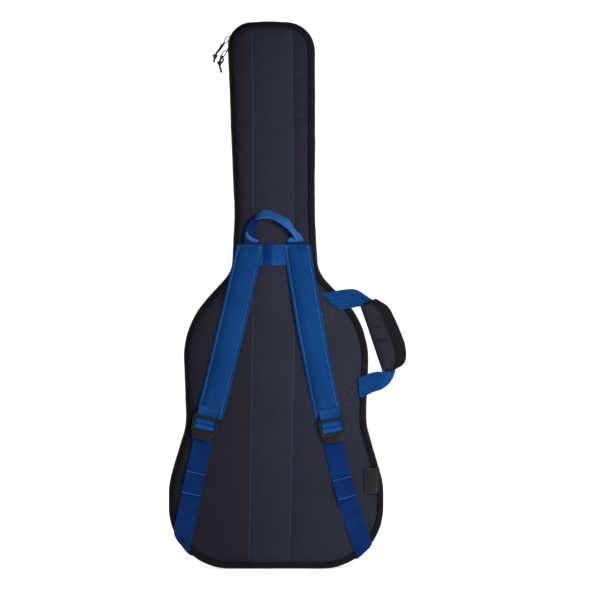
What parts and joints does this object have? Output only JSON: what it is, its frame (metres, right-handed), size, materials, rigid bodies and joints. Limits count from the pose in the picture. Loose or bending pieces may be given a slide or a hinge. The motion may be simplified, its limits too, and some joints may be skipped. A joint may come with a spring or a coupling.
{
  "type": "padded gig bag",
  "caption": "Padded soft case for an electric guitar: zipped book-opening lid with a pocket, padded shoulder straps with buckles, side handle and hanging loop.",
  "frame": {"origin": "centre of the back half's flat base, which the bag stands on", "axes": "+Z along the guitar's neck towards the head end, +X to the handle side, -Y out of the back with the shoulder straps, +Y out of the lid"},
  "size_m": [0.4547, 0.1068, 1.061],
  "materials": {
    "panel_fabric": "woven nylon over foam, quilted, matt with a faint sheen",
    "binding": "matt black woven nylon and binding tape",
    "zip_tape": "fine ribbed tape",
    "zip_coil": "nylon coil",
    "foam": "closed-cell foam under cloth",
    "lining": "smooth brushed lining",
    "strap_fabric": "blue woven nylon over thin foam, stitched edges",
    "webbing": "blue ribbed polypropylene webbing",
    "buckle_plastic": "satin black acetal",
    "slider_metal": "black enamelled zinc",
    "pull_cord": "braided black cord",
    "label_fabric": "plain woven tag"
  },
  "bodies": {
    "back_half": {"back_panel": "panel_fabric", "back_foam": "foam", "back_lining": "lining", "back_gusset": "binding", "back_piping": "binding", "zip_tape_back": "zip_tape", "zip_coil_back": "zip_coil", "hinge_strip": "binding", "label": "label_fabric", "neck_rest": "foam", "end_pad": "foam", "yoke_webbing": "webbing", "left_strap_tab": "strap_fabric", "right_strap_tab": "strap_fabric", "left_anchor": "webbing", "right_anchor": "webbing"},
    "lid": {"front_panel": "panel_fabric", "front_foam": "foam", "front_lining": "lining", "front_gusset": "binding", "front_piping": "binding", "zip_tape_front": "zip_tape", "zip_coil_front": "zip_coil", "pocket_panel": "panel_fabric", "pocket_gusset": "binding", "pocket_tape_upper": "zip_tape", "pocket_tape_lower": "zip_tape"},
    "pocket_slider": {"pocket_slider": "slider_metal"},
    "pocket_pull": {"pocket_pull": "slider_metal"},
    "left_strap": {"left_pad": "strap_fabric", "left_end_loop": "webbing"},
    "left_adjuster": {"left_buckle": "buckle_plastic", "left_webbing_turn": "webbing"},
    "left_lower_webbing": {"left_webbing": "webbing"},
    "right_strap": {"right_pad": "strap_fabric", "right_end_loop": "webbing"},
    "right_adjuster": {"right_buckle": "buckle_plastic", "right_webbing_turn": "webbing"},
    "right_lower_webbing": {"right_webbing": "webbing"},
    "handle": {"handle_webbing_upper": "webbing", "handle_webbing_lower": "webbing", "handle_grip": "panel_fabric"},
    "hang_loop": {"hang_loop": "webbing"},
    "upper_slider": {"zip_slider_upper": "slider_metal"},
    "upper_pull": {"zip_pull_upper": "slider_metal", "pull_cord_upper": "pull_cord"},
    "lower_slider": {"zip_slider_lower": "slider_metal"},
    "lower_pull": {"zip_pull_lower": "slider_metal", "pull_cord_lower": "pull_cord"}
  },
  "joints": [
    {"name": "lid_hinge", "type": "hinge", "parent": "back_half", "child": "lid", "pos_m": [-0.2105, 0.018, 0.143], "axis": [0, 0, 1], "range_deg": [0, 180]},
    {"name": "pocket_zip", "type": "slide", "parent": "lid", "child": "pocket_slider", "axis": [1, 0, 0], "range_m": [0, 0.22]},
    {"name": "pocket_pull_swing", "type": "hinge", "parent": "pocket_slider", "child": "pocket_pull", "pos_m": [-0.11, 0.0568, 0.353], "axis": [1, 0, 0], "range_deg": [0, 90]},
    {"name": "left_strap_swing", "type": "hinge", "parent": "back_half", "child": "left_strap", "pos_m": [-0.05883, -0.043, 0.586], "axis": [-0.9745, 0, 0.2242], "range_deg": [0, 18]},
    {"name": "left_buckle_tilt", "type": "hinge", "parent": "left_strap", "child": "left_adjuster", "pos_m": [-0.12821, -0.044, 0.29701], "axis": [-0.9715, 0, 0.237], "range_deg": [0, 60]},
    {"name": "left_webbing_swing", "type": "hinge", "parent": "back_half", "child": "left_lower_webbing", "pos_m": [-0.181, -0.03985, 0.062], "axis": [0.9924, 0, -0.1227], "range_deg": [0, 34]},
    {"name": "right_strap_swing", "type": "hinge", "parent": "back_half", "child": "right_strap", "pos_m": [0.04651, -0.043, 0.586], "axis": [-0.9878, 0, -0.1557], "range_deg": [0, 18]},
    {"name": "right_buckle_tilt", "type": "hinge", "parent": "right_strap", "child": "right_adjuster", "pos_m": [0.1014, -0.044, 0.29294], "axis": [-0.9808, 0, -0.195], "range_deg": [0, 60]},
    {"name": "right_webbing_swing", "type": "hinge", "parent": "back_half", "child": "right_lower_webbing", "pos_m": [0.162, -0.03985, 0.056], "axis": [0.9593, 0, 0.2823], "range_deg": [0, 34]},
    {"name": "handle_swing", "type": "hinge", "parent": "back_half", "child": "handle", "pos_m": [0.098, -0.03985, 0.531], "axis": [0.2769, 0, -0.9609], "range_deg": [0, 90]},
    {"name": "hang_loop_fold", "type": "hinge", "parent": "back_half", "child": "hang_loop", "pos_m": [-0.0045, -0.0435, 0.6325], "axis": [1, 0, 0], "range_deg": [0, 120]},
    {"name": "upper_zip_run", "type": "hinge", "parent": "back_half", "child": "upper_slider", "pos_m": [-0.0472, 0.018, 1.0128], "axis": [0, 1, 0], "range_deg": [0, 54]},
    {"name": "upper_pull_swing", "type": "hinge", "parent": "upper_slider", "child": "upper_pull", "pos_m": [-0.0918, 0.018, 1.038], "axis": [0, 1, 0], "range_deg": [0, 120]},
    {"name": "lower_zip_run", "type": "slide", "parent": "back_half", "child": "lower_slider", "axis": [0.0408, 0, -0.9992], "range_m": [0, 0.28]},
    {"name": "lower_pull_swing", "type": "hinge", "parent": "lower_slider", "child": "lower_pull", "pos_m": [-0.0985, 0.018, 1.01], "axis": [0, 1, 0], "range_deg": [-12, 0]}
  ],
  "couplings": [
    {"joint": "left_webbing_swing", "follows": "left_strap_swing", "ratio": 1.8},
    {"joint": "right_webbing_swing", "follows": "right_strap_swing", "ratio": 1.8}
  ]
}
